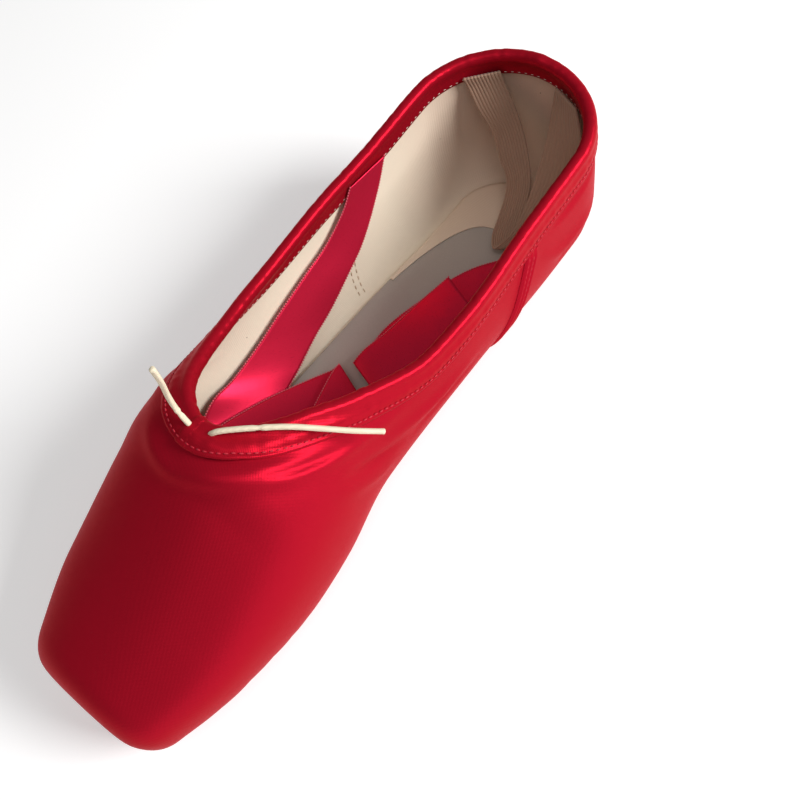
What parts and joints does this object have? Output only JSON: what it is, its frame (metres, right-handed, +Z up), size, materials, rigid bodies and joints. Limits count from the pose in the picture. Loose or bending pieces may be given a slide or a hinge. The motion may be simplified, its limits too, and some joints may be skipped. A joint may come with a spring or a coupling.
{
  "type": "pointe shoe",
  "caption": "Red satin pointe shoe with a flat toe platform, leather outsole, bound collar with a drawstring, two ribbons folded inside and an elastic loop at the heel.",
  "frame": {"origin": "on the floor, under the middle of the shoe's length and width", "axes": "+Y from toe to heel, +Z up, +X to the right as seen by someone who faces the toe; left and right in the node names are meant this way"},
  "size_m": [0.0726, 0.24, 0.0989],
  "materials": {
    "satin": "red satin with a soft sheen over cotton lining",
    "ribbon_satin": "red satin ribbon",
    "sole_leather": "matt tan leather",
    "insole_board": "matt grey fibre board",
    "elastic": "beige ribbed elastic",
    "drawstring": "cream braided elastic cord"
  },
  "bodies": {
    "root": {"upper": "satin", "outsole": "sole_leather", "insole": "insole_board", "collar_binding": "satin", "side_seam_left": "satin", "side_seam_right": "satin", "ribbon_left": "ribbon_satin", "ribbon_right": "ribbon_satin", "heel_elastic": "elastic", "drawstring_left": "drawstring", "drawstring_right": "drawstring"}
  },
  "joints": []
}
